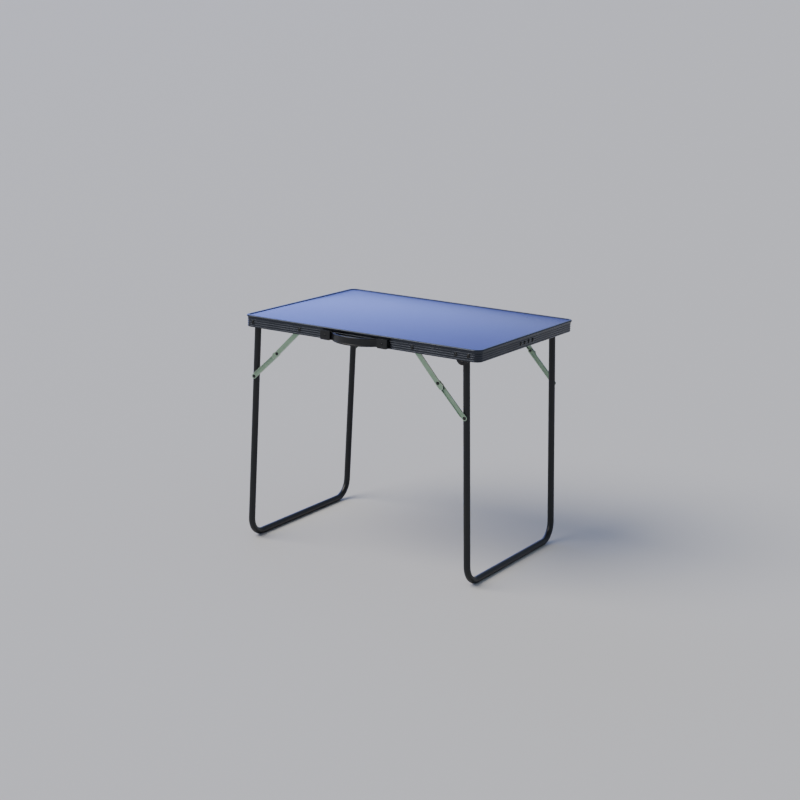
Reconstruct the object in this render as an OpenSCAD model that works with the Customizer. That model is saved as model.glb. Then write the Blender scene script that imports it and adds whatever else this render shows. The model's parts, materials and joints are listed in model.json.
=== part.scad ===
// Folding picnic table. A ribbed metal rail runs round a laminated board, two U-shaped tube
// frames fold flat under it one above the other, and a two-link stay at each corner holds
// them upright. A bowed carrying handle sits on the front rail.
// X runs along the table's length, Y across it and Z up, and the front, where the handle is,
// faces -Y. The modules are drawn about the middle of the top, and placed() then moves them so
// that the origin lies on the floor under the middle of the whole outline, handle included.

/* [Table] */
// Length of the table top
table_w = 800; // [640:10:1200]
// Width of the table top
table_d = 600; // [480:10:900]
// Height of the rim above the floor
table_h = 700; // [560:5:760]

/* [Rail] */
// Height of the rail's outer face
rail_h = 35.5; // [30:0.5:46]
// Outer radius of the rail's corners
rail_corner_r = 25; // [16:1:27]
// Width of the lip that holds the board down
rim_w = 9; // [8:0.5:12]
// Height of the plain band above the ribs
band_h = 10; // [8:0.5:14]
// How far the rim's round nose stands out over the ribs
nose_r = 3; // [1.5:0.5:4]
// Number of ribs along the rail
rib_count = 4; // [2:1:6]
// Middle of the joint where the two ends of the rail meet
seam_y = -8; // [-60:1:60]

/* [Board] */
// Thickness of the board
board_t = 4; // [3:0.5:8]
// Thickness of the laminate on the board
laminate_t = 0.8; // [0.5:0.1:1.5]
// How far the rim stands above the laminate
rim_lift = 2; // [1:0.5:4]

/* [Leg frames] */
// Outer diameter of the leg tube
tube_d = 20; // [16:0.5:24]
// Wall of the leg tube
tube_wall = 1.2; // [1:0.1:2]
// Bend radius from leg to ground bar
leg_bend_r = 55; // [40:1:90]
// Distance of the legs from the long edges of the top
leg_side_inset = 32; // [29:1:45]
// Distance of the left hinge from the left end of the top
left_hinge_inset = 32; // [30:1:60]
// Distance of the right hinge from the right end of the top
right_hinge_inset = 58; // [45:1:80]
// Distance of the left ground bar from the left end of the top
left_foot_inset = 19; // [10:1:40]
// Distance of the right ground bar from the right end of the top
right_foot_inset = 24; // [10:1:40]

/* [Stays] */
// Distance along the rail from the left hinge to its stays
left_stay_reach = 167; // [120:1:240]
// Distance along the rail from the right hinge to its stays
right_stay_reach = 160; // [120:1:240]
// Width of a stay link
link_w = 15; // [12:0.5:18]
// Depth of a stay link's channel
link_depth = 4; // [3:0.5:5]
// Thickness of the stay's steel
link_t = 1.2; // [0.8:0.1:1.6]
// How far the middle pivot sets past the straight line, so that the stay locks
lock_set = 2; // [1:0.5:6]
// Length of the upper link's tail past the middle pivot
tail_len = 22; // [15:1:26]

/* [Handle] */
// Overall length of the handle
handle_len = 226; // [180:2:280]
// Middle of the handle along the front rail
handle_x = -7; // [-60:1:60]
// Length of each end cap
cap_len = 33; // [28:1:45]
// Thickness of the grip
grip_t = 5; // [4:0.5:7]
// How far the grip bows out from the rail's face
grip_reach = 44; // [34:1:54]

/* [Rivets] */
// Head diameter of the rail and stay rivets
head_d = 10.5; // [7:0.5:11]
// Shank diameter of the stay rivets
rivet_d = 5; // [4:0.5:6]
// Shank diameter of the leg hinge pins
pin_d = 6; // [5:0.5:8]

/* [Hidden] */
$fn = 96;

// sides of the table, used as multipliers and as choices
FRONT = -1;
BACK = 1;
LEFT = -1;
RIGHT = 1;

// fits and gaps
run_gap = 0.05;           // radial clearance of a turning shank
side_gap = 0.3;           // gap between the faces of moving pieces
layer_gap = 0.6;          // gap between the two channels of a stay
board_gap = 0.2;          // gap round the board's edge inside the rail
laminate_gap = 0.4;       // gap between the laminate's edge and the rim
left_fold_gap = 3.7;      // gap between the board and the folded left frame
frame_fold_gap = 1.5;     // gap between the two folded frames

// heads, washers and bushes
head_t = 1.5;
inner_head_d = 8;
inner_head_t = 1.4;
pin_head_d = 10;
pin_head_gap = 0.5;       // gap between the lower pin's head and the rail's lower edge
bush_d = 11;
stay_bush_d = 10;
splice_t = 2;
ear_t = 2;

// rail section, measured inward from the rim's nose
face_in = nose_r;         // face of the band and of the ribs
valley_in = face_in + 1.2;
wall_in = face_in + 2.6;
ledge_in = 14;
ledge_t = 1.4;
lip_t = rim_lift + laminate_t;
crest_r = 1.2;
rib_d = 3;
rail_z = table_h - rail_h;
band_z = table_h - band_h;
rib_pitch = (rail_h - band_h) / rib_count;
seam_gap = 0.3;

// board stack
half_w = table_w / 2;
half_d = table_d / 2;
laminate_top = table_h - rim_lift;
board_top = laminate_top - laminate_t;
board_z = board_top - board_t;

// leg frames: hinge axes and feet as [x, z]
tube_r = tube_d / 2;
leg_y = half_d - leg_side_inset;
line_z = board_z - left_fold_gap - tube_r;
low_line_z = min(line_z - tube_d - frame_fold_gap, rail_z - pin_head_d / 2 - pin_head_gap);
left_axis = [-half_w + left_hinge_inset, line_z];
right_axis = [half_w - right_hinge_inset, low_line_z];
left_foot = [-half_w + left_foot_inset, tube_r];
right_foot = [half_w - right_foot_inset, tube_r];
tube_end = 7;             // tube past the hinge axis
plug_len = 18;
plug_cap_t = 1.5;
ear_r = 19.5;
ear_rivet_x = 20;
ear_w = 56;
ear_h = 20;

// stays: layers in Y on the front side, counted outward from the leg's side
leg_face = leg_y + tube_r;
low_head_y = leg_face + 0.7;
low_web_y = low_head_y + inner_head_t + side_gap;
low_open_y = low_web_y + link_depth;
up_open_y = low_open_y + layer_gap;
up_web_y = up_open_y + link_depth - link_t;
up_face_y = up_open_y + link_depth;
face_y = half_d - face_in;
rail_in_y = half_d - wall_in;
flange_start = 9;         // flat end of each link round its pivot
stop_w = 7;
left_rail_pivot = [left_axis[0] + left_stay_reach, line_z];
right_rail_pivot = [right_axis[0] - right_stay_reach, line_z];

// handle: the grip's centre line is a tab, a fillet arc, the long bow and their mirror images
cap_h = rail_h - 2 * nose_r - 2;
cap_wall = 1.5;
grip_h = cap_h - 2 * cap_wall;
cap_depth = 12;
cap_round = 3;
slot_gap = 0.3;
handle_z = rail_z + cap_h / 2;
tab_back = 3;
fillet_r = 14;
bow_half = handle_len / 2 - cap_len;
tab_y = -face_y - tab_back - grip_t / 2;
bow_rise = grip_reach - tab_back - grip_t;
bow_angle = 2 * atan(bow_rise / bow_half);
bow_r = bow_half / sin(bow_angle) - fillet_r;
tab_len = cap_len - 6;
bow_steps = 48;
fillet_steps = 12;
handle_rivet_d = 4;
handle_head_d = 7;
handle_rivet_x = bow_half + cap_len / 2;

// splice rivets along the right end of the rail
splice_pitch = 25;
splice_len = 4 * splice_pitch;
splice_h = 18;

// Point and vector helpers in the XZ plane
function leg_len(axis, foot) = norm(foot - axis);
function leg_splay(axis, foot) = asin((axis[0] - foot[0]) / leg_len(axis, foot));
function leg_point(axis, foot, s) = axis + s * (foot - axis) / leg_len(axis, foot);
function heading(from, to) = atan2(to[1] - from[1], to[0] - from[0]);

// Pivots of each side's stays
function axis_of(side) = side == LEFT ? left_axis : right_axis;
function foot_of(side) = side == LEFT ? left_foot : right_foot;
function reach_of(side) = side == LEFT ? left_stay_reach : right_stay_reach;
function rail_pivot(side) = side == LEFT ? left_rail_pivot : right_rail_pivot;
function leg_pivot(side) = leg_point(axis_of(side), foot_of(side), reach_of(side));
function half_span(side) = norm(leg_pivot(side) - rail_pivot(side)) / 2;

// A stay's two links are equally long. The middle pivot lies off the straight line between the
// outer pivots, on the side away from the hinge.
function link_len(side) = norm([half_span(side), lock_set]);
function mid_pivot(side) =
    let (a = rail_pivot(side))
    let (b = leg_pivot(side))
    let (along = (b - a) / norm(b - a))
    (a + b) / 2 + lock_set * side * [along[1], -along[0]];

// ---- shared shapes ----

// The back half of the table is the mirror image of the front half
module on_side(front_back) {
    mirror([0, front_back == BACK ? 1 : 0, 0])
        children();
}

module front_and_back() {
    on_side(FRONT) children();
    on_side(BACK) children();
}

// Moves children from the middle of the top to the middle of the outline with the handle
module placed() {
    translate([0, (face_y + grip_reach - half_d) / 2, 0])
        children();
}

// Outline of a plate with round corners, centred
module rounded_rect(w, d, r) {
    square([w - 2 * r, d], center = true);
    square([w, d - 2 * r], center = true);
    for (x = [-1, 1], y = [-1, 1])
        translate([x * (w / 2 - r), y * (d / 2 - r)])
            circle(r = r);
}

// Cylinder along Y from one distance to another on the front side
module shank(d, y_out, y_in) {
    translate([0, -y_in, 0])
        rotate([90, 0, 0])
            cylinder(d = d, h = y_out - y_in);
}

// Domed rivet head standing outward on a front face at the given distance
module dome_head(d, t, y_face) {
    ball_r = (pow(d / 2, 2) + pow(t, 2)) / (2 * t);
    intersection() {
        translate([0, -(y_face + t - ball_r), 0])
            sphere(r = ball_r);
        shank(d + 1, y_face + t + 1, y_face);
    }
}

// Places children at an [x, z] point
module at_point(p) {
    translate([p[0], 0, p[1]])
        children();
}

// ---- table top ----

// Section of the rail: x runs inward to outward and ends at 0, y is the height
module rail_section() {
    // plain band, wall behind the ribs, and the ledge under the board
    translate([-wall_in, band_z])
        square([wall_in - face_in, band_h - lip_t / 2]);
    translate([-wall_in, rail_z])
        square([wall_in - valley_in, rail_h - lip_t / 2]);
    translate([-ledge_in, board_z - ledge_t])
        square([ledge_in - valley_in, ledge_t]);
    // lip over the board, with a round crest inside and a round nose outside
    translate([-rim_w, board_top])
        square([rim_w - face_in, lip_t - crest_r]);
    translate([-rim_w + crest_r, board_top])
        square([rim_w - crest_r - face_in, lip_t]);
    translate([-rim_w + crest_r, table_h - crest_r])
        circle(r = crest_r);
    translate([-face_in, table_h - nose_r])
        intersection() {
            circle(r = nose_r);
            translate([0, -nose_r])
                square([nose_r, 2 * nose_r]);
        }
    // ribs, round outward and clipped inside the wall
    for (i = [0 : rib_count - 1])
        translate([-face_in, band_z - (i + 0.5) * rib_pitch])
            intersection() {
                translate([-rib_d / 2, 0])
                    circle(d = rib_d);
                translate([-rib_d / 2, -rib_d / 2])
                    square(rib_d);
            }
}

// The bent rail before it is drilled
module rail_ring() {
    for (i = [0 : 3]) {
        reach = i % 2 == 0 ? half_w : half_d;
        len = (i % 2 == 0 ? table_d : table_w) - 2 * rail_corner_r;
        rotate([0, 0, 90 * i]) {
            translate([reach, len / 2, 0])
                rotate([90, 0, 0])
                    linear_extrude(len)
                        rail_section();
            translate([reach - rail_corner_r, len / 2, 0])
                rotate_extrude(angle = 90)
                    translate([rail_corner_r, 0])
                        rail_section();
        }
    }
}

// Rivet positions along the long rails
function long_rail_holes() = [
    [left_axis[0], pin_d],
    [left_rail_pivot[0], rivet_d],
    [right_rail_pivot[0], rivet_d],
    [right_axis[0] - ear_rivet_x, rivet_d],
    [right_axis[0] + ear_rivet_x, rivet_d],
];

module rail_frame() {
    color([0.22, 0.24, 0.26])
    difference() {
        rail_ring();
        front_and_back()
            for (hole = long_rail_holes())
                at_point([hole[0], line_z])
                    shank(hole[1] + 2 * run_gap, half_d + 1, rail_in_y - 1);
        for (s = [-1, 1])
            at_point([handle_x + s * handle_rivet_x, handle_z])
                shank(handle_rivet_d + 2 * run_gap, half_d + 1, rail_in_y - 1);
        splice_places()
            shank(rivet_d + 2 * run_gap, half_w + 1, half_w - wall_in - 1);
        translate([half_w - ledge_in - 1, seam_y - seam_gap / 2, rail_z - 1])
            cube([ledge_in + 2, seam_gap, rail_h + 2]);
    }
}

module core_board() {
    color([0.45, 0.38, 0.30])
    translate([0, 0, board_z])
        linear_extrude(board_t)
            rounded_rect(table_w - 2 * (wall_in + board_gap), table_d - 2 * (wall_in + board_gap),
                         rail_corner_r - wall_in - board_gap);
}

module top_laminate() {
    inset = rim_w + laminate_gap;
    color([0.47, 0.53, 0.72])
    translate([0, 0, board_top])
        linear_extrude(laminate_t)
            rounded_rect(table_w - 2 * inset, table_d - 2 * inset, rail_corner_r - inset);
}

// Places children at the four splice rivets, turned to face the right end
module splice_places() {
    for (i = [-1.5 : 1.5])
        translate([0, seam_y + i * splice_pitch, line_z])
            rotate([0, 0, 90])
                children();
}

module splice_plate() {
    color([0.55, 0.56, 0.56])
    difference() {
        translate([half_w - wall_in - splice_t, seam_y - splice_len / 2, line_z - splice_h / 2])
            cube([splice_t, splice_len, splice_h]);
        splice_places()
            shank(rivet_d + 2 * run_gap, half_w, half_w - wall_in - splice_t - 1);
    }
}

// A rivet through the rail wall and whatever lies behind it
module wall_rivet(y_out, y_in) {
    dome_head(head_d, head_t, y_out);
    shank(rivet_d, y_out, y_in);
    shank(inner_head_d, y_in, y_in - inner_head_t);
}

module splice_rivets() {
    color([0.10, 0.11, 0.12])
    splice_places()
        wall_rivet(half_w - face_in, half_w - wall_in - splice_t);
}

// ---- hinges ----

// Plate inside each long rail that carries the lower, right-hand hinge
module hinge_ears() {
    color([0.10, 0.11, 0.12])
    front_and_back()
        difference() {
            translate([right_axis[0], -rail_in_y + ear_t, 0])
                rotate([90, 0, 0])
                    linear_extrude(ear_t)
                        ear_outline();
            at_point(right_axis)
                shank(pin_d + 2 * run_gap, rail_in_y + 1, rail_in_y - ear_t - 1);
            for (s = [-1, 1])
                at_point([right_axis[0] + s * ear_rivet_x, line_z])
                    shank(rivet_d + 2 * run_gap, rail_in_y + 1, rail_in_y - ear_t - 1);
        }
}

module ear_outline() {
    translate([-ear_w / 2, line_z - ear_h / 2])
        square([ear_w, ear_h]);
    translate([0, low_line_z - (pin_head_d / 2 + 2) + ear_r])
        circle(r = ear_r);
}

module ear_rivets() {
    color([0.10, 0.11, 0.12])
    front_and_back()
        for (s = [-1, 1])
            at_point([right_axis[0] + s * ear_rivet_x, line_z])
                wall_rivet(face_y, rail_in_y - ear_t);
}

// Hinge pins: through the rail on the left, through the ear on the right
module hinge_pins() {
    color([0.16, 0.17, 0.18])
    front_and_back() {
        at_point(left_axis)
            hinge_pin(face_y);
        at_point(right_axis)
            hinge_pin(rail_in_y);
    }
}

module hinge_pin(y_out) {
    inner_face = leg_y - tube_r - side_gap;
    dome_head(pin_head_d, head_t, y_out);
    shank(pin_d, y_out, inner_face);
    shank(head_d, inner_face, inner_face - head_t);
}

// Bushes that hold the legs away from the rail, leaving room for the stays
module hinge_bushes() {
    color([0.08, 0.08, 0.09])
    front_and_back() {
        at_point(left_axis)
            bush(bush_d, pin_d, rail_in_y, leg_face + side_gap);
        at_point(right_axis)
            bush(bush_d, pin_d, rail_in_y - ear_t, leg_face + side_gap);
    }
}

module bush(outer_d, inner_d, y_out, y_in) {
    difference() {
        shank(outer_d, y_out, y_in);
        shank(inner_d + 2 * run_gap, y_out + 1, y_in - 1);
    }
}

// ---- leg frames ----

// U-shaped bar hanging from the hinge axis at the origin, its ground bar a distance below
module u_bar(d, len, top) {
    drop = len - leg_bend_r;
    for (side = [-1, 1])
        translate([0, side * leg_y, -drop])
            cylinder(d = d, h = drop + top);
    for (flip = [0, 1])
        mirror([0, flip, 0])
            translate([0, leg_y - leg_bend_r, -drop])
                rotate([-90, 0, 90])
                    rotate_extrude(angle = 90)
                        translate([leg_bend_r, 0])
                            circle(d = d);
    translate([0, leg_y - leg_bend_r, -len])
        rotate([90, 0, 0])
            cylinder(d = d, h = 2 * (leg_y - leg_bend_r));
}

// Turns children from hanging straight down to the leg's splay
module on_leg(side) {
    at_point(axis_of(side))
        rotate([0, leg_splay(axis_of(side), foot_of(side)), 0])
            children();
}

module leg_frame(side) {
    len = leg_len(axis_of(side), foot_of(side));
    color([0.13, 0.15, 0.16])
    on_leg(side)
        difference() {
            u_bar(tube_d, len, tube_end);
            u_bar(tube_d - 2 * tube_wall, len, tube_end + 1);
            front_and_back()
                shank(pin_d + 2 * run_gap, leg_face + 1, leg_y - tube_r - 1);
        }
}

// Plugs in the tops of the tubes, drilled for the hinge pins
module leg_plugs(side) {
    inner_d = tube_d - 2 * tube_wall;
    color([0.08, 0.08, 0.09])
    on_leg(side)
        front_and_back()
            difference() {
                translate([0, -leg_y, tube_end - plug_len])
                    cylinder(d = inner_d, h = plug_len);
                shank(pin_d + 2 * run_gap, leg_face + 1, leg_y - tube_r - 1);
            }
    color([0.08, 0.08, 0.09])
    on_leg(side)
        front_and_back()
            translate([0, -leg_y, tube_end])
                cylinder(d1 = tube_d - 0.6, d2 = inner_d, h = plug_cap_t);
}

// ---- stays ----

// Lays children along a link: local x runs from one pivot to the next
module along_link(from, to) {
    at_point(from)
        rotate([0, -heading(from, to), 0])
            children();
}

// Flat link with round ends, from one distance to another along x
module link_web(x_start, x_end, y_out, y_in) {
    translate([0, -y_in, 0])
        rotate([90, 0, 0])
            linear_extrude(y_out - y_in) {
                translate([x_start, -link_w / 2])
                    square([x_end - x_start, link_w]);
                for (x = [x_start, x_end])
                    translate([x, 0])
                        circle(d = link_w);
            }
}

// The channel's two flanges
module link_flanges(x_start, x_end, y_out, y_in) {
    for (z = [-link_w / 2, link_w / 2 - link_t])
        translate([x_start, -y_out, z])
            cube([x_end - x_start, y_out - y_in, link_t]);
}

// Upper link: its channel opens inward, and its tail carries the stop that ends the lock
module upper_link(side, front_back) {
    len = link_len(side);
    tail_end = len + tail_len - link_w / 2;
    color([0.60, 0.64, 0.60])
    on_side(front_back)
        along_link(rail_pivot(side), mid_pivot(side)) {
            difference() {
                link_web(0, tail_end, up_face_y, up_web_y);
                for (x = [0, len])
                    translate([x, 0, 0])
                        shank(rivet_d + 2 * run_gap, up_face_y + 1, up_web_y - 1);
            }
            link_flanges(flange_start, tail_end, up_web_y, up_open_y);
            stop_tab(side);
        }
}

// Ear beside the tail with a tab turned inward. The lower link's edge meets the tab when the
// stay is locked, and turns away from it when the leg folds.
module stop_tab(side) {
    bend = heading(mid_pivot(side), leg_pivot(side)) - heading(rail_pivot(side), mid_pivot(side));
    tab_x = tail_len - link_w / 2 - stop_w;
    ear_z = link_w / 2 + side_gap + link_t;
    translate([link_len(side), 0, 0])
        rotate([0, -bend, 0])
            mirror([0, 0, side == LEFT ? 1 : 0])
                translate([tab_x, -up_face_y, 0]) {
                    cube([stop_w, link_t, ear_z]);
                    translate([0, 0, ear_z - link_t])
                        cube([stop_w, up_face_y - low_web_y - link_t, link_t]);
                }
}

// Middle rivet: a wide shoulder holds the links apart and the lower link turns on its end
module mid_rivet(side, front_back) {
    low_face = low_web_y + link_t;
    color([0.10, 0.11, 0.12])
    on_side(front_back)
        at_point(mid_pivot(side)) {
            dome_head(head_d, head_t, up_face_y);
            shank(rivet_d, up_face_y, low_head_y);
            shank(inner_head_d, up_web_y, low_face + side_gap);
            shank(inner_head_d, low_head_y + inner_head_t, low_head_y);
        }
}

// Lower link: its channel opens outward
module lower_link(side, front_back) {
    len = link_len(side);
    color([0.60, 0.64, 0.60])
    on_side(front_back)
        along_link(mid_pivot(side), leg_pivot(side)) {
            difference() {
                link_web(0, len, low_web_y + link_t, low_web_y);
                for (x = [0, len])
                    translate([x, 0, 0])
                        shank(rivet_d + 2 * run_gap, low_web_y + link_t + 1, low_web_y - 1);
            }
            link_flanges(flange_start, len - flange_start, low_open_y, low_web_y + link_t);
        }
}

// Foot rivet: rides on the lower link and ends in a collar just clear of the leg
module foot_rivet(side, front_back) {
    color([0.10, 0.11, 0.12])
    on_side(front_back)
        at_point(leg_pivot(side)) {
            dome_head(head_d, head_t, low_web_y + link_t);
            shank(rivet_d, low_web_y + link_t, low_web_y);
            shank(inner_head_d, low_web_y, leg_face + side_gap);
        }
}

// Rivets that carry the upper links on the rail, and the bushes that set them off it
module stay_rivets() {
    inner_face = up_web_y - side_gap;
    color([0.10, 0.11, 0.12])
    front_and_back()
        for (p = [left_rail_pivot, right_rail_pivot])
            at_point(p) {
                dome_head(head_d, head_t, face_y);
                shank(rivet_d, face_y, inner_face);
                shank(inner_head_d, inner_face, inner_face - inner_head_t);
            }
}

module stay_bushes() {
    color([0.08, 0.08, 0.09])
    front_and_back()
        for (p = [left_rail_pivot, right_rail_pivot])
            at_point(p)
                bush(stay_bush_d, rivet_d, rail_in_y, up_face_y + side_gap);
}

// ---- handle ----

module at_handle() {
    translate([handle_x, 0, handle_z])
        children();
}

// Points on an arc, from one angle to another
function arc(centre, r, start, end, steps) = [
    for (i = [0 : steps])
        let (a = start + (end - start) * i / steps)
        centre + r * [cos(a), sin(a)]
];

// One face of the grip seen from above: tab, fillet arc, bow, fillet arc, tab.
// The offset is counted outward from the grip's middle line.
function grip_face(offset) = concat(
    [[-bow_half - tab_len, tab_y - offset]],
    arc([-bow_half, tab_y - fillet_r], fillet_r - offset, 90, 90 - bow_angle, fillet_steps),
    arc([0, tab_y - bow_rise + bow_r], bow_r + offset, 270 - bow_angle, 270 + bow_angle, bow_steps),
    arc([bow_half, tab_y - fillet_r], fillet_r - offset, 90 + bow_angle, 90, fillet_steps),
    [[bow_half + tab_len, tab_y - offset]]
);

function reversed(list) = [for (i = [len(list) - 1 : -1 : 0]) list[i]];

module handle_grip() {
    outline = concat(grip_face(grip_t / 2), reversed(grip_face(-grip_t / 2)));
    color([0.09, 0.09, 0.10])
    at_handle()
        difference() {
            translate([0, 0, -grip_h / 2])
                linear_extrude(grip_h)
                    polygon(outline);
            for (s = [-1, 1])
                translate([s * handle_rivet_x, 0, 0])
                    shank(handle_rivet_d + 2 * run_gap, face_y + cap_depth, face_y);
        }
}

module handle_caps() {
    color([0.12, 0.12, 0.13])
    at_handle()
        for (flip = [0, 1])
            mirror([flip, 0, 0])
                difference() {
                    translate([bow_half + cap_len / 2, -face_y, 0])
                        rotate([90, 0, 0])
                            linear_extrude(cap_depth)
                                rounded_rect(cap_len, cap_h, cap_round);
                    translate([bow_half - 1, tab_y - grip_t / 2 - slot_gap, -grip_h / 2 - slot_gap])
                        cube([tab_len + 1 + slot_gap, grip_t + slot_gap, grip_h + 2 * slot_gap]);
                    translate([handle_rivet_x, 0, 0])
                        shank(handle_rivet_d + 2 * run_gap, face_y + cap_depth + 1, face_y - 1);
                }
}

module handle_rivets() {
    color([0.16, 0.17, 0.18])
    at_handle()
        for (s = [-1, 1])
            translate([s * handle_rivet_x, 0, 0]) {
                dome_head(handle_head_d, head_t, face_y + cap_depth);
                shank(handle_rivet_d, face_y + cap_depth, rail_in_y);
                shank(handle_head_d, rail_in_y, rail_in_y - inner_head_t);
            }
}

placed() rail_frame();
placed() core_board();
placed() top_laminate();
placed() splice_plate();
placed() splice_rivets();
placed() hinge_ears();
placed() ear_rivets();
placed() hinge_pins();
placed() hinge_bushes();
placed() stay_rivets();
placed() stay_bushes();
placed() handle_grip();
placed() handle_caps();
placed() handle_rivets();
placed() leg_frame(LEFT);  // left_leg_frame
placed() leg_plugs(LEFT);  // left_leg_plugs
placed() leg_frame(RIGHT);  // right_leg_frame
placed() leg_plugs(RIGHT);  // right_leg_plugs
placed() upper_link(LEFT, FRONT);  // upper_link_front_left
placed() mid_rivet(LEFT, FRONT);  // mid_rivet_front_left
placed() lower_link(LEFT, FRONT);  // lower_link_front_left
placed() foot_rivet(LEFT, FRONT);  // foot_rivet_front_left
placed() upper_link(RIGHT, FRONT);  // upper_link_front_right
placed() mid_rivet(RIGHT, FRONT);  // mid_rivet_front_right
placed() lower_link(RIGHT, FRONT);  // lower_link_front_right
placed() foot_rivet(RIGHT, FRONT);  // foot_rivet_front_right
placed() upper_link(LEFT, BACK);  // upper_link_back_left
placed() mid_rivet(LEFT, BACK);  // mid_rivet_back_left
placed() lower_link(LEFT, BACK);  // lower_link_back_left
placed() foot_rivet(LEFT, BACK);  // foot_rivet_back_left
placed() upper_link(RIGHT, BACK);  // upper_link_back_right
placed() mid_rivet(RIGHT, BACK);  // mid_rivet_back_right
placed() lower_link(RIGHT, BACK);  // lower_link_back_right
placed() foot_rivet(RIGHT, BACK);  // foot_rivet_back_right
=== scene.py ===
# %% [markdown]
# # A folding picnic table
# The real table is a thin board in a ribbed metal rail, with two U-shaped tube frames that fold
# flat under it, a two-link stay at each corner and a bowed handle at the front.
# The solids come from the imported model, so this file gives them their looks: finer pieces where
# the eye goes, a material for everything, soft light and a camera.
# Everything is in metres, with the origin on the floor.

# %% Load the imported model
import json
import math
import bmesh
import bpy
from mathutils import Matrix, Vector


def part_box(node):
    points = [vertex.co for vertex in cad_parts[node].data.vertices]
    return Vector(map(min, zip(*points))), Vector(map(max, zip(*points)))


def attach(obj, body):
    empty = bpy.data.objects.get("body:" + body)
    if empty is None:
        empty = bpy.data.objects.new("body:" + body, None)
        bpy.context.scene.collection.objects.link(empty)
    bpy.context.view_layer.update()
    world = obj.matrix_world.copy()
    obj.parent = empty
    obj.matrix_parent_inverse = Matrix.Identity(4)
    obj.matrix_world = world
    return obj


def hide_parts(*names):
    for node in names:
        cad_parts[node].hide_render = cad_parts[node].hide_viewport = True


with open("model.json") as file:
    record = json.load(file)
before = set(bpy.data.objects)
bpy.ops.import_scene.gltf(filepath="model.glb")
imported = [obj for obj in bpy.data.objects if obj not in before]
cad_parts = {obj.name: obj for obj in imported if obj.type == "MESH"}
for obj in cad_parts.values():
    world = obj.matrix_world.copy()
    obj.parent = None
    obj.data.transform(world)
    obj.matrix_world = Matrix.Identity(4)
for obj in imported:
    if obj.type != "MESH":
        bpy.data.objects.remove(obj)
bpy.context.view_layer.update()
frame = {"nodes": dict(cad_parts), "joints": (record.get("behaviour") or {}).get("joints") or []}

nodes = frame["nodes"]
joints = {joint["name"]: joint for joint in frame["joints"]}
print("nodes:", len(nodes), "joints:", len(joints))

# %% [markdown]
# ## Where things are
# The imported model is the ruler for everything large. A node's box gives the size of a piece and
# where it lies, and a joint's position gives a pivot. Only small sizes, such as the depth of a
# rib, are written down here by name. The origin lies under the middle of the whole outline,
# handle included, so the middle of the top is a little behind it.

# %% Read the main sizes
rail_low, rail_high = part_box("rail_frame")
board_low, board_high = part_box("core_board")
grip_low, grip_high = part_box("handle_grip")
table_middle = Vector(((rail_low.x + rail_high.x) / 2, (rail_low.y + rail_high.y) / 2, 0))
half_length = (rail_high.x - rail_low.x) / 2
half_width = (rail_high.y - rail_low.y) / 2
rim_top = rail_high.z
rail_bottom = rail_low.z
print("table top", round(2 * half_length, 3), "x", round(2 * half_width, 3), "m, rim at", round(rim_top, 3))
print("middle of the top", [round(v, 4) for v in table_middle])

# %% [markdown]
# ## Mesh helpers
# Each new piece starts as a bmesh, a mesh that lives in memory while operators shape it.
# Three small helpers turn it into an object: one writes the mesh, one makes a closed outline
# with rounded corners, and one bevels the sharp edges that a real press or mould would round.

# %% Turn a bmesh into a piece
weld_gap = 1e-6


def finish_piece(name, shape, body):
    """Writes the bmesh to an object that rides on a body."""
    mesh = bpy.data.meshes.new(name)
    shape.to_mesh(mesh)
    shape.free()
    mesh.shade_smooth()
    piece = bpy.data.objects.new(name, mesh)
    bpy.context.scene.collection.objects.link(piece)
    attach(piece, body)
    print(name, "faces:", len(mesh.polygons))
    return piece


def keep_edges_crisp(piece, degrees=35):
    """Marks edges sharper than the angle as sharp, so flat faces look flat."""
    limit = math.radians(degrees)
    for polygon in piece.data.polygons:
        polygon.use_smooth = True
    shape = bmesh.new()
    shape.from_mesh(piece.data)
    for edge in shape.edges:
        edge.smooth = edge.calc_face_angle(0) < limit
    shape.to_mesh(piece.data)
    shape.free()


# %% A closed outline with rounded corners
def outline(shape, corners, radii, segments=4):
    """A loop of edges through the corner points, each rounded to its own radius."""
    verts = [shape.verts.new(corner) for corner in corners]
    face = shape.faces.new(verts)
    for vert, radius in zip(verts, radii):
        if radius > 0:
            bmesh.ops.bevel(shape, geom=[vert], offset=radius / math.tan(corner_half_angle(vert)),
                            offset_type="OFFSET", affect="VERTICES", segments=segments,
                            profile=0.5, material=-1)
    return face if face.is_valid else shape.faces[:][0]


def corner_half_angle(vert):
    """Half of the angle between the two edges that meet at a corner of an outline."""
    first, second = [edge.other_vert(vert).co - vert.co for edge in vert.link_edges]
    return first.angle(second) / 2


# %% A copy of a solid with its sharp edges eased
def eased_copy(name, node, body, radius, segments=2, degrees=30):
    """Merges a node's triangles into clean faces and bevels every edge that is sharp."""
    shape = bmesh.new()
    shape.from_mesh(nodes[node].data)
    bmesh.ops.remove_doubles(shape, verts=shape.verts, dist=weld_gap)
    bmesh.ops.dissolve_limit(shape, angle_limit=math.radians(0.5), verts=shape.verts,
                             edges=shape.edges)
    limit = math.radians(degrees)
    sharp = [edge for edge in shape.edges if edge.calc_face_angle(0) > limit]
    bmesh.ops.bevel(shape, geom=sharp, offset=radius, offset_type="OFFSET", affect="EDGES",
                    segments=segments, profile=0.5, material=-1, clamp_overlap=True)
    piece = finish_piece(name, shape, body)
    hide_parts(node)
    keep_edges_crisp(piece, 50)
    return piece


# %% [markdown]
# ## The ribbed rail
# The real rail is one aluminium extrusion, bent round the four corners and joined in the middle
# of the right-hand side. Its rim ends in a round nose that stands out over four ribs. It could
# be modelled as a box with grooves cut in, but a sweep says how it is made: one section, drawn
# once, pulled along the sides and spun round the corners.

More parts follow.
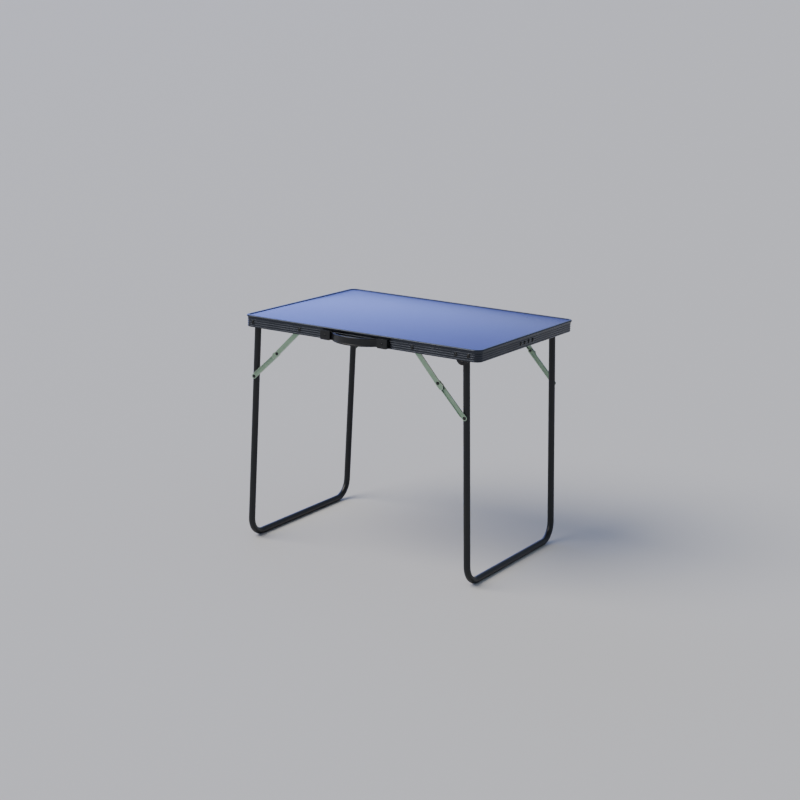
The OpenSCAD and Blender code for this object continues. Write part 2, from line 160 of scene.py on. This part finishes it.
# %% Draw the rail's section
corner_radius = 0.025
lip_width = 0.009
nose_height = 0.006
face_depth = 0.003
valley_depth = 0.0042
wall_depth = 0.0056
ledge_width = 0.014
ledge_thickness = 0.0014
band_height = 0.010
rib_count = 4
rib_half = 0.00125
rib_root_half = 0.00145
crest_round = 0.0012
nose_round = 0.0029
rib_round = 0.0011
root_round = 0.00025
edge_round = 0.0003
seam_y = -0.008
seam_gap = 0.0003
bend_steps = 14


def rail_corners():
    """Corner points of the section as (inward distance from the nose, height, rounding)."""
    board_top, board_under = board_high.z, board_low.z
    ledge_under = board_under - ledge_thickness
    band = rim_top - band_height
    pitch = (band - rail_bottom) / rib_count
    points = [(lip_width, board_top, 0), (lip_width, rim_top, crest_round), (0, rim_top, nose_round),
              (0, rim_top - nose_height, nose_round), (face_depth, rim_top - nose_height, 0.0005),
              (face_depth, band, 0.0004), (valley_depth, band, edge_round)]
    for rib in range(rib_count):
        middle = band - (rib + 0.5) * pitch
        points.append((valley_depth, middle + rib_root_half, root_round))
        points.append((face_depth, middle + rib_half, rib_round))
        points.append((face_depth, middle - rib_half, rib_round))
        points.append((valley_depth, middle - rib_root_half, root_round))
    points += [(valley_depth, rail_bottom, edge_round), (wall_depth, rail_bottom, edge_round)]
    points += [(wall_depth, ledge_under, 0.0006), (ledge_width, ledge_under, 0.0005)]
    points += [(ledge_width, board_under, 0.0005), (wall_depth, board_under, 0)]
    points += [(wall_depth, board_top, 0)]
    return points


# %% Sweep the section round the table
def sweep_rail():
    """The section starts at the joint, runs round all four sides and ends at the joint."""
    shape = bmesh.new()
    points = rail_corners()
    start_y = seam_y + seam_gap / 2
    corners = [Vector((half_length - depth, start_y, height)) for depth, height, _ in points]
    face = outline(shape, corners, [rounding for _, _, rounding in points])
    edges = list(face.edges)
    inner = Vector((half_length - corner_radius, half_width - corner_radius, 0))
    runs = [(Vector((0, inner.y - start_y, 0)), Vector((inner.x, inner.y, 0))),
            (Vector((-2 * inner.x, 0, 0)), Vector((-inner.x, inner.y, 0))),
            (Vector((0, -2 * inner.y, 0)), Vector((-inner.x, -inner.y, 0))),
            (Vector((2 * inner.x, 0, 0)), Vector((inner.x, -inner.y, 0)))]
    for run, centre in runs:
        edges = pull(shape, edges, run)
        edges = turn(shape, edges, centre, (0, 0, 1), 90, bend_steps)
    edges = pull(shape, edges, Vector((0, seam_y - seam_gap / 2 + inner.y, 0)))
    bmesh.ops.contextual_create(shape, geom=edges)
    bmesh.ops.translate(shape, verts=shape.verts, vec=table_middle)
    bmesh.ops.recalc_face_normals(shape, faces=shape.faces)
    return shape


def pull(shape, edges, run):
    """Extrudes a loop of edges along a straight run and returns the loop at its end."""
    made = bmesh.ops.extrude_edge_only(shape, edges=edges)["geom"]
    bmesh.ops.translate(shape, verts=[v for v in made if isinstance(v, bmesh.types.BMVert)], vec=run)
    return [e for e in made if isinstance(e, bmesh.types.BMEdge)]


def turn(shape, edges, centre, axis, degrees, steps):
    """Spins a loop of edges round an axis and returns the loop at its end."""
    made = bmesh.ops.spin(shape, geom=edges, cent=centre, axis=axis, angle=math.radians(degrees),
                          steps=steps, use_duplicate=False)
    return [e for e in made["geom_last"] if isinstance(e, bmesh.types.BMEdge)]


rail = finish_piece("ribbed_rail", sweep_rail(), "table_top")
keep_edges_crisp(rail, 40)
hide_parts("rail_frame")

# %% [markdown]
# ## The board and its laminate
# The top is a hard slate-blue sheet bonded to a fibreboard. Both solids already have the right
# outline, so they only get the small edge rounding that a router leaves.

# %% Ease the sheet's and the board's edges
laminate = eased_copy("laminate_sheet", "top_laminate", "table_top", 0.0003)
board = eased_copy("fibre_board", "core_board", "table_top", 0.0004)

# %% [markdown]
# ## Leg frames
# Each frame is one length of tube with two bends. A ring of points is pulled down the first leg,
# spun through a bend, pulled across the floor, spun again and pulled up the second leg.

# %% Bend the tubes
leg_low, leg_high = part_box("left_leg_frame")
tube_radius = 0.010
bend_radius = 0.055
leg_side = (leg_high.y - leg_low.y) / 2 - tube_radius
tube_end = 0.007
tube_segments = 40


def bent_tube(hinge, foot):
    """One U of tube through the two hinge points, its cross bar lying on the floor."""
    down = (foot - hinge).normalized()
    length = (foot - hinge).length
    straight = length - bend_radius
    across = Vector((0, 1, 0))
    side = Vector((0, -leg_side, 0))
    shape = bmesh.new()
    ring = bmesh.ops.create_circle(shape, cap_ends=True, radius=tube_radius,
                                   segments=tube_segments)["verts"]
    facing = Vector((0, 0, 1)).rotation_difference(down).to_matrix()
    bmesh.ops.rotate(shape, verts=ring, cent=(0, 0, 0), matrix=facing)
    bmesh.ops.translate(shape, verts=ring, vec=hinge - down * tube_end + side)
    edges = list(shape.edges)
    edges = pull(shape, edges, down * (straight + tube_end))
    bend_axis = across.cross(down) * -1
    near = hinge + down * straight + side + across * bend_radius
    edges = turn(shape, edges, near, bend_axis, 90, bend_steps)
    edges = pull(shape, edges, across * 2 * (leg_side - bend_radius))
    far = near + across * 2 * (leg_side - bend_radius)
    edges = turn(shape, edges, far, bend_axis, 90, bend_steps)
    edges = pull(shape, edges, -down * (straight + tube_end))
    bmesh.ops.contextual_create(shape, geom=edges)
    bmesh.ops.recalc_face_normals(shape, faces=shape.faces)
    return shape


def hinge_point(joint):
    """The joint's pivot in the middle of the table."""
    x, y, z = joints[joint]["pos_m"]
    return Vector((x, y, z))


def foot_point(node, outward):
    """The middle of the ground bar: a tube radius in from the box's outer, lower corner."""
    low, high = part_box(node)
    x = high.x - tube_radius if outward > 0 else low.x + tube_radius
    return Vector((x, (low.y + high.y) / 2, low.z + tube_radius))


leg_frames = []
for side, outward in (("left", -1), ("right", 1)):
    node = side + "_leg_frame"
    tube = bent_tube(hinge_point(side + "_leg_fold"), foot_point(node, outward))
    leg = finish_piece(side + "_leg_tube", tube, side + "_legs")
    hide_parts(node)
    keep_edges_crisp(leg, 50)
    leg_frames.append(leg)

# %% Plug the tube ends
plugs = [eased_copy(side + "_tube_plugs", side + "_leg_plugs", side + "_legs", 0.0005)
         for side in ("left", "right")]

# %% [markdown]
# ## Stays, ears and plates
# These are pressed from steel sheet. Their solids have the true outline and holes, so a copy
# with merged faces and slightly rounded edges is all that a pressing needs: the rounded edges
# soften the highlights along them.

# %% Ease the pressed pieces
corners = [(end, side) for end in ("front", "back") for side in ("left", "right")]
links = []
for end, side in corners:
    for part in ("upper", "lower"):
        node = f"{part}_link_{end}_{side}"
        body = f"{part}_{end}_{side}"
        links.append(eased_copy(f"{part}_stay_{end}_{side}", node, body, 0.0003))
ears = eased_copy("hinge_ear_plates", "hinge_ears", "table_top", 0.0005)
plate = eased_copy("joint_plate", "splice_plate", "table_top", 0.0004)
bushes = [eased_copy("leg_bushes", "hinge_bushes", "table_top", 0.0005),
          eased_copy("stay_spacers", "stay_bushes", "table_top", 0.0005)]

# %% [markdown]
# ## Rivets and pins
# A rivet is round about its own axis, so half of its outline, spun through a full turn, makes
# it. The heads are the low domes with a small centre dimple that a rivet gun leaves.

# %% Spin a rivet from half its outline
head_height = 0.0015
tail_height = 0.0014
tail_width = 0.88


def add_turned(shape, profile, place, turned_by, steps=32):
    """Spins (radius, distance) points about a line that leaves place along -Y."""
    verts = [shape.verts.new((radius, -distance, 0)) for radius, distance in profile]
    edges = [shape.edges.new(pair) for pair in zip(verts, verts[1:])]
    bmesh.ops.spin(shape, geom=verts + edges, cent=(0, 0, 0), axis=(0, 1, 0),
                   angle=math.tau, steps=steps, use_merge=True)
    made = [v for v in shape.verts if not v.tag]
    bmesh.ops.remove_doubles(shape, verts=made, dist=1e-7)
    made = [v for v in shape.verts if not v.tag]
    bmesh.ops.rotate(shape, verts=made, cent=(0, 0, 0), matrix=Matrix.Rotation(turned_by, 3, "Z"))
    bmesh.ops.translate(shape, verts=made, vec=place)
    for vert in shape.verts:
        vert.tag = True


def head_profile(radius, height, face):
    """A low dome standing on a face, with a dimple in the middle, as (radius, distance)."""
    rise = [(0.0, 0.55), (0.16, 0.55), (0.24, 0.95), (0.32, 1.0), (0.55, 0.93), (0.78, 0.70),
            (0.93, 0.40), (1.0, 0.12), (0.98, 0.0)]
    return [(radius * r, face + height * h) for r, h in rise]


def tail_profile(radius, inner_face, tail_radius, tail):
    """The straight part and the flat tail head behind the last plate."""
    edge = 0.0003
    return [(radius, inner_face), (tail_radius - edge, inner_face), (tail_radius, inner_face - edge),
            (tail_radius, tail + edge), (tail_radius - edge, tail), (0.0, tail)]


# %% Read each rivet's place from its solid
def islands(node):
    """Box of every separate solid in a node, as (low, high), found by walking its edges."""
    shape = bmesh.new()
    shape.from_mesh(nodes[node].data)
    bmesh.ops.remove_doubles(shape, verts=shape.verts, dist=weld_gap)
    left = set(shape.verts)
    found = []
    while left:
        group = {left.pop()}
        front = set(group)
        while front:
            front = {e.other_vert(v) for v in front for e in v.link_edges} & left
            left -= front
            group |= front
        low = Vector([min(v.co[i] for v in group) for i in range(3)])
        high = Vector([max(v.co[i] for v in group) for i in range(3)])
        found.append((low, high))
    shape.free()
    return sorted(found, key=lambda box: (round(box[0].y, 4), round(box[0].x, 4)))


def rivet_set(name, node, shank, tail, turned=False):
    """One piece that holds every rivet of a node, each spun in its own place.

    tail is the thickness of the tail head, and shank is the radius between the heads.
    A rivet through a long rail points along Y, and one through the right end (turned) along X.
    """
    shape = bmesh.new()
    for low, high in islands(node):
        near, far = low - table_middle, high - table_middle
        centre = (near + far) / 2
        along = (near.x, far.x) if turned else (near.y, far.y)
        outer, inner = max(abs(v) for v in along), min(abs(v) for v in along)
        radius = (high.z - low.z) / 2
        face = outer - head_height
        profile = head_profile(radius, head_height, face) + [(shank, face)]
        profile += tail_profile(shank, inner + tail, radius * tail_width, inner)
        if turned:
            spot, angle = Vector((0, centre.y, centre.z)), math.pi / 2
        else:
            spot, angle = Vector((centre.x, 0, centre.z)), 0.0 if centre.y < 0 else math.pi
        add_turned(shape, profile, spot + table_middle, angle)
    bmesh.ops.recalc_face_normals(shape, faces=shape.faces)
    piece = finish_piece(name, shape, "table_top")
    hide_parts(node)
    keep_edges_crisp(piece, 45)
    return piece


# %% Make the rail's rivets and pins
rivet_shank = 0.0025
pin_shank = 0.0030
pin_tail = 0.0015
cap_shank = 0.0020
rivets = [rivet_set("rail_joint_rivets", "splice_rivets", rivet_shank, tail_height, turned=True),
          rivet_set("ear_plate_rivets", "ear_rivets", rivet_shank, tail_height),
          rivet_set("stay_top_rivets", "stay_rivets", rivet_shank, tail_height),
          rivet_set("leg_hinge_pins", "hinge_pins", pin_shank, pin_tail),
          rivet_set("handle_cap_rivets", "handle_rivets", cap_shank, tail_height)]

# %% Ease the stays' own rivets
for end, side in corners:
    rivets.append(eased_copy(f"stay_middle_rivet_{end}_{side}", f"mid_rivet_{end}_{side}",
                             f"upper_{end}_{side}", 0.0002))
    rivets.append(eased_copy(f"stay_foot_rivet_{end}_{side}", f"foot_rivet_{end}_{side}",
                             f"lower_{end}_{side}", 0.0002))

# %% [markdown]
# ## The carrying handle
# The grip is a moulded strap that bows out from two end caps. Its section has rounded edges and
# a shallow channel in its outer face, and like the rail it is one section swept along a path:
# flat tab, fillet, long bow, fillet, flat tab.

# %% Sweep the grip
def grip_section(out, half):
    """The section as (outward, up, rounding): a flat bar with a shallow channel in one face."""
    channel_depth = 0.0007
    shoulder = half - 0.0040
    floor_edge = half - 0.0048
    corner_round = 0.0016
    channel_round = 0.0004
    return [(-out, half, corner_round), (out, half, corner_round),
            (out, -half, corner_round), (-out, -half, corner_round),
            (-out, -shoulder, channel_round), (-out + channel_depth, -floor_edge, channel_round),
            (-out + channel_depth, floor_edge, channel_round), (-out, shoulder, channel_round)]


def sweep_grip():
    """The grip's section, pulled and spun along the path that the solid's box gives."""
    thickness = 0.005
    height = grip_high.z - grip_low.z
    middle = (grip_low + grip_high) / 2
    tab_y = grip_high.y - thickness / 2
    rise = grip_high.y - grip_low.y - thickness
    fillet = 0.014
    tab = 0.027
    bow_half = (grip_high.x - grip_low.x) / 2 - tab
    angle = 2 * math.atan(rise / bow_half)
    bow = bow_half / math.sin(angle) - fillet
    shape = bmesh.new()
    section = grip_section(thickness / 2, height / 2)
    corners_at = [Vector((middle.x - bow_half - tab, tab_y + y, middle.z + z)) for y, z, _ in section]
    face = outline(shape, corners_at, [rounding for _, _, rounding in section])
    edges = pull(shape, list(face.edges), Vector((tab, 0, 0)))
    degrees = math.degrees(angle)
    fillet_steps = 10
    bow_steps = 48
    edges = turn(shape, edges, (middle.x - bow_half, tab_y - fillet, 0), (0, 0, -1), degrees, fillet_steps)
    edges = turn(shape, edges, (middle.x, tab_y - rise + bow, 0), (0, 0, 1), 2 * degrees, bow_steps)
    edges = turn(shape, edges, (middle.x + bow_half, tab_y - fillet, 0), (0, 0, -1), degrees, fillet_steps)
    edges = pull(shape, edges, Vector((tab, 0, 0)))
    bmesh.ops.contextual_create(shape, geom=edges)
    bmesh.ops.recalc_face_normals(shape, faces=shape.faces)
    return shape


grip = finish_piece("handle_strap", sweep_grip(), "table_top")
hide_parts("handle_grip")
keep_edges_crisp(grip, 50)
caps = eased_copy("handle_end_caps", "handle_caps", "table_top", 0.0012, segments=3)

# %% [markdown]
# ## Shared surface effects
# Real finishes are never one flat colour. Three small node groups are built once and used in
# every material with their own numbers: a soft cloudiness, fine grain for bump, and a mask on the
# edges, where some finishes rub thin and others get a painted highlight.

# %% Start a node group
def new_group(name, inputs, output):
    """An empty group with named number inputs, and one output."""
    group = bpy.data.node_groups.new(name, "ShaderNodeTree")
    for label, value in inputs:
        socket = group.interface.new_socket(name=label, in_out="INPUT", socket_type="NodeSocketFloat")
        socket.default_value = value
    group.interface.new_socket(name=output, in_out="OUTPUT", socket_type="NodeSocketFloat")
    start = group.nodes.new("NodeGroupInput")
    end = group.nodes.new("NodeGroupOutput")
    return group, start, end


# %% Cloudiness: slow change over the surface
def cloud_group():
    """Large soft noise from 0 to 1 on object coordinates."""
    group, start, end = new_group("soft_clouds", [("Scale", 6.0), ("Contrast", 1.6)], "Mask")
    place = group.nodes.new("ShaderNodeTexCoord")
    noise = group.nodes.new("ShaderNodeTexNoise")
    noise.inputs["Detail"].default_value = 5.0
    noise.inputs["Roughness"].default_value = 0.6
    centred = group.nodes.new("ShaderNodeMath")
    centred.operation = "SUBTRACT"
    centred.inputs[1].default_value = 0.5
    spread = group.nodes.new("ShaderNodeMath")
    spread.operation = "MULTIPLY_ADD"
    spread.use_clamp = True
    spread.inputs[2].default_value = 0.5
    link = group.links.new
    link(place.outputs["Object"], noise.inputs["Vector"])
    link(start.outputs["Scale"], noise.inputs["Scale"])
    link(noise.outputs["Fac"], centred.inputs[0])
    link(centred.outputs[0], spread.inputs[0])
    link(start.outputs["Contrast"], spread.inputs[1])
    link(spread.outputs[0], end.inputs["Mask"])
    return group


# %% Grain: fine bump that can be drawn out along an axis
def grain_group():
    """Fine noise with its own scale along each axis, so it can become brushed lines."""
    group, start, end = new_group("fine_grain", [("Along X", 900.0), ("Along Y", 900.0), ("Along Z", 900.0)],
                                  "Height")
    place = group.nodes.new("ShaderNodeTexCoord")
    scales = group.nodes.new("ShaderNodeCombineXYZ")
    stretch = group.nodes.new("ShaderNodeVectorMath")
    stretch.operation = "MULTIPLY"
    noise = group.nodes.new("ShaderNodeTexNoise")
    noise.inputs["Scale"].default_value = 1.0
    noise.inputs["Detail"].default_value = 3.0
    link = group.links.new
    for axis, label in zip("XYZ", ("Along X", "Along Y", "Along Z")):
        link(start.outputs[label], scales.inputs[axis])
    link(place.outputs["Object"], stretch.inputs[0])
    link(scales.outputs["Vector"], stretch.inputs[1])
    link(stretch.outputs["Vector"], noise.inputs["Vector"])
    link(noise.outputs["Fac"], end.inputs["Height"])
    return group


# %% Edges: a mask on the convex and sharp edges, for wear and for painted highlights
def edge_wear_and_highlight_group():
    """Compares the true normal with a rounded one: they differ only near an edge."""
    group, start, end = new_group("edge_wear_and_highlight", [("Width", 0.0008), ("Amount", 1.0), ("Patch Scale", 60.0)],
                                  "Mask")
    rounded = group.nodes.new("ShaderNodeBevel")
    rounded.samples = 6
    true_normal = group.nodes.new("ShaderNodeNewGeometry")
    agree = group.nodes.new("ShaderNodeVectorMath")
    agree.operation = "DOT_PRODUCT"
    differ = group.nodes.new("ShaderNodeMath")
    differ.operation = "SUBTRACT"
    differ.inputs[0].default_value = 1.0
    place = group.nodes.new("ShaderNodeTexCoord")
    patches = group.nodes.new("ShaderNodeTexNoise")
    patches.inputs["Detail"].default_value = 6.0
    patchy = group.nodes.new("ShaderNodeMath")
    patchy.operation = "MULTIPLY"
    strong = group.nodes.new("ShaderNodeMath")
    strong.operation = "MULTIPLY"
    strong.use_clamp = True
    link = group.links.new
    link(start.outputs["Width"], rounded.inputs["Radius"])
    link(rounded.outputs["Normal"], agree.inputs[0])
    link(true_normal.outputs["Normal"], agree.inputs[1])
    link(agree.outputs["Value"], differ.inputs[1])
    link(place.outputs["Object"], patches.inputs["Vector"])
    link(start.outputs["Patch Scale"], patches.inputs["Scale"])
    link(differ.outputs[0], patchy.inputs[0])
    link(patches.outputs["Fac"], patchy.inputs[1])
    link(patchy.outputs[0], strong.inputs[0])
    link(start.outputs["Amount"], strong.inputs[1])
    link(strong.outputs[0], end.inputs["Mask"])
    return group


clouds = cloud_group()
grain = grain_group()
edge_wear_and_highlight = edge_wear_and_highlight_group()
print("shared groups:", clouds.name, grain.name, edge_wear_and_highlight.name)

# %% [markdown]
# ## A material from the shared effects
# Most finishes here follow one recipe: two close colours mixed by clouds, a third colour on the
# edges that is wear on some finishes and a painted highlight on others, a roughness that wanders
# a little, and grain as a fine bump. One function wires that recipe, and each finish below calls
# it with its own colours and numbers.

# %% Colour helper and the recipe
def colour(red, green, blue):
    """Display values from 0 to 255 as the linear colour that shaders work in."""
    def linear(value):
        value /= 255
        return value / 12.92 if value <= 0.04045 else ((value + 0.055) / 1.055) ** 2.4
    return (linear(red), linear(green), linear(blue), 1.0)


def group_node(tree, group, **values):
    """Places a shared group in a material and sets its inputs by name."""
    node = tree.nodes.new("ShaderNodeGroup")
    node.node_tree = group
    for label, value in values.items():
        node.inputs[label.replace("_", " ")].default_value = value
    return node


def mix_colours(tree, mask, first, second):
    """Mixes two colours, or a socket and a colour, by a mask."""
    mix = tree.nodes.new("ShaderNodeMix")
    mix.data_type = "RGBA"
    tree.links.new(mask, mix.inputs["Factor"])
    for socket, value in ((mix.inputs[6], first), (mix.inputs[7], second)):
        if isinstance(value, tuple):
            socket.default_value = value
        else:
            tree.links.new(value, socket)
    return mix.outputs[2]


def spread_value(tree, mask, low, high):
    """Maps a mask from 0..1 to a range."""
    span = tree.nodes.new("ShaderNodeMapRange")
    tree.links.new(mask, span.inputs["Value"])
    span.inputs["To Min"].default_value = low
    span.inputs["To Max"].default_value = high
    return span.outputs["Result"]


def finish_material(name, base, second, wear_and_highlight_colour, rough, bump, cloud_scale=8.0, wear_and_highlight_amount=1.0, wear_and_highlight_width=0.0008,
                    grain_scale=(900.0, 900.0, 900.0), metallic=0.0, shine=0.5):
    """The common recipe. rough is (low, high); bump is the grain's height in metres."""
    material = bpy.data.materials.new(name)
    material.use_nodes = True
    tree = material.node_tree
    shader = tree.nodes["Principled BSDF"]
    shader.inputs["Metallic"].default_value = metallic
    shader.inputs["Specular IOR Level"].default_value = shine
    cloudy = group_node(tree, clouds, Scale=cloud_scale)
    wear_and_highlight_mask = group_node(tree, edge_wear_and_highlight, Width=wear_and_highlight_width, Amount=wear_and_highlight_amount)
    fine = group_node(tree, grain, Along_X=grain_scale[0], Along_Y=grain_scale[1], Along_Z=grain_scale[2])
    body = mix_colours(tree, cloudy.outputs["Mask"], base, second)
    # The third colour on the edges is wear on some finishes and a painted highlight on others.
    tree.links.new(mix_colours(tree, wear_and_highlight_mask.outputs["Mask"], body, wear_and_highlight_colour), shader.inputs["Base Color"])
    tree.links.new(spread_value(tree, cloudy.outputs["Mask"], *rough), shader.inputs["Roughness"])
    relief = tree.nodes.new("ShaderNodeBump")
    relief.inputs["Strength"].default_value = 1.0
    relief.inputs["Distance"].default_value = bump
    tree.links.new(fine.outputs["Height"], relief.inputs["Height"])
    tree.links.new(relief.outputs["Normal"], shader.inputs["Normal"])
    return material


def paint(material, *pieces):
    """Gives pieces their material."""
    for piece in pieces:
        piece.data.materials.clear()
        piece.data.materials.append(material)


# %% [markdown]
# ## Finishes
# The top is a hard slate-blue laminate with a fine pebble grain. The rail has a dark grey satin
# coating over extruded lines, the legs a black powder coat, the stays bright zinc plate whose green
# cast is a painted reflection of green surroundings and whose edges carry painted highlights, and
# the handle is black moulded plastic.

# %% Laminate and board
slate_laminate = finish_material(
    "slate laminate", colour(86, 98, 176), colour(92, 104, 184), colour(126, 138, 196), (0.20, 0.28),
    0.00006, cloud_scale=5.0, wear_and_highlight_amount=0.6, grain_scale=(700.0, 700.0, 700.0), shine=0.3)
fibreboard = finish_material(
    "pressed fibreboard", colour(128, 98, 68), colour(108, 80, 54), colour(150, 122, 90), (0.65, 0.85),
    0.00025, cloud_scale=30.0, wear_and_highlight_amount=0.4, grain_scale=(500.0, 180.0, 400.0))
paint(slate_laminate, laminate)
paint(fibreboard, board)

# %% Rail and leg coatings
rail_coating = finish_material(
    "rail coating", colour(66, 69, 76), colour(57, 60, 66), colour(120, 124, 130), (0.24, 0.34),
    0.00002, cloud_scale=14.0, wear_and_highlight_amount=0.9, wear_and_highlight_width=0.0010, grain_scale=(6.0, 6.0, 2600.0), metallic=0.95)
powder_coat = finish_material(
    "black powder coat", colour(15, 18, 21), colour(11, 14, 17), colour(60, 63, 66), (0.32, 0.44),
    0.00010, cloud_scale=20.0, wear_and_highlight_amount=0.7, grain_scale=(1200.0, 1200.0, 1200.0), shine=0.45)
paint(rail_coating, rail)
paint(powder_coat, *leg_frames)

# %% Stays, rivets and ears
# The zinc's two base colours carry a green cast that is a painted reflection of green surroundings. Its
# near-white edge colour, laid on strongly and wide, is a painted highlight along the flanges' edges with a
# little real wear.
zinc_plate = finish_material(
    "zinc plate", colour(146, 172, 148), colour(126, 152, 128), colour(240, 244, 236), (0.24, 0.36),
    0.00004, cloud_scale=90.0, wear_and_highlight_amount=7.0, wear_and_highlight_width=0.0016, metallic=0.65)
black_steel = finish_material(
    "blackened steel", colour(10, 11, 12), colour(7, 8, 9), colour(48, 50, 52), (0.16, 0.26),
    0.00003, cloud_scale=60.0, wear_and_highlight_amount=0.4, wear_and_highlight_width=0.0005, shine=0.45)
paint(zinc_plate, *links, plate)
paint(black_steel, ears, *rivets)

# %% Plastics
moulded_black = finish_material(
    "moulded black plastic", colour(13, 14, 16), colour(10, 11, 13), colour(44, 46, 49), (0.40, 0.52),
    0.00010, cloud_scale=30.0, wear_and_highlight_amount=0.6, grain_scale=(1500.0, 1500.0, 1500.0))
# The grip's edge colour, a little lighter than the caps' and laid wider, is partly wear and partly a painted
# highlight.
soft_grip = finish_material(
    "soft grip plastic", colour(12, 13, 16), colour(9, 10, 13), colour(56, 58, 62), (0.30, 0.42),
    0.00012, cloud_scale=24.0, wear_and_highlight_amount=0.8, wear_and_highlight_width=0.0012, grain_scale=(1100.0, 1100.0, 1100.0))
paint(moulded_black, caps, *plugs, *bushes)
paint(soft_grip, grip)

# %% [markdown]
# ## Floor, light and camera
# The floor is one very wide pale disc, so that its edge lies on the horizon and never shows.
# Light comes from a broad soft sun at the front left, which draws a bright line along each rib,
# and from a pale sky. The sky is bluer and brighter low at the
# back left, and the satin top mirrors that as a slow change from light to dark.

# %% Lay the floor
def lay_floor():
    """A wide pale disc at height 0."""
    shape = bmesh.new()
    bmesh.ops.create_circle(shape, cap_ends=True, radius=3000.0, segments=96)
    mesh = bpy.data.meshes.new("studio_floor")
    shape.to_mesh(mesh)
    shape.free()
    floor = bpy.data.objects.new("studio_floor", mesh)
    bpy.context.scene.collection.objects.link(floor)
    material = bpy.data.materials.new("pale floor")
    material.use_nodes = True
    shader = material.node_tree.nodes["Principled BSDF"]
    shader.inputs["Base Color"].default_value = colour(208, 207, 203)
    shader.inputs["Roughness"].default_value = 0.9
    shader.inputs["Specular IOR Level"].default_value = 0.1
    floor.data.materials.append(material)


lay_floor()


# %% Hang the soft sun
def soft_sun(name, place, power, spread, tint):
    """A distant light, as wide as spread in degrees, that shines from a place to the origin."""
    data = bpy.data.lights.new(name, "SUN")
    data.energy = power
    data.angle = math.radians(spread)
    data.color = tint
    lamp = bpy.data.objects.new(name, data)
    bpy.context.scene.collection.objects.link(lamp)
    lamp.location = place
    lamp.rotation_euler = Vector(place).to_track_quat("Z", "Y").to_euler()


soft_sun("front_sun", (-4.5, -5.0, 7.6), 2.9, 44, (1.0, 0.95, 0.88))


# %% Tint the sky
def tint_sky(even, glow, towards, near, far):
    """An even sky with a glow round one direction; near and far are the glow's angles."""
    world = bpy.data.worlds.new("soft sky")
    world.use_nodes = True
    tree = world.node_tree
    view = tree.nodes.new("ShaderNodeTexCoord")
    agree = tree.nodes.new("ShaderNodeVectorMath")
    agree.operation = "DOT_PRODUCT"
    agree.inputs[1].default_value = Vector(towards).normalized()
    fade = tree.nodes.new("ShaderNodeMapRange")
    fade.interpolation_type = "SMOOTHSTEP"
    fade.inputs["From Min"].default_value = math.cos(math.radians(far))
    fade.inputs["From Max"].default_value = math.cos(math.radians(near))
    tree.links.new(view.outputs["Generated"], agree.inputs[0])
    tree.links.new(agree.outputs["Value"], fade.inputs["Value"])
    sky = tree.nodes["Background"]
    tree.links.new(mix_colours(tree, fade.outputs["Result"], even, glow), sky.inputs["Color"])
    bpy.context.scene.world = world


tint_sky((0.29, 0.33, 0.42, 1.0), (0.85, 1.15, 3.00, 1.0), (-0.82, 0.54, 0.20), 5, 38)

# %% Place the camera
def place_camera():
    """A standing viewer's camera, in front of the right-hand corner, looking slightly down."""
    yaw, pitch, roll = (math.radians(a) for a in (30.68, 13.65, 2.06))
    forward = Vector((-math.sin(yaw) * math.cos(pitch), math.cos(yaw) * math.cos(pitch), -math.sin(pitch)))
    right = Vector((math.cos(yaw), math.sin(yaw), 0.0))
    up = right.cross(forward)
    right, up = (right * math.cos(roll) + up * math.sin(roll), up * math.cos(roll) - right * math.sin(roll))
    data = bpy.data.cameras.new("camera")
    data.sensor_width = 36.0
    data.lens = 77.67
    data.clip_end = 10000.0
    camera = bpy.data.objects.new("camera", data)
    bpy.context.scene.collection.objects.link(camera)
    turned = Matrix((right, up, -forward)).transposed().to_4x4()
    place = table_middle + Vector((2.576, -4.388, rim_top + 0.978))
    camera.matrix_world = Matrix.Translation(place) @ turned
    bpy.context.scene.camera = camera


place_camera()
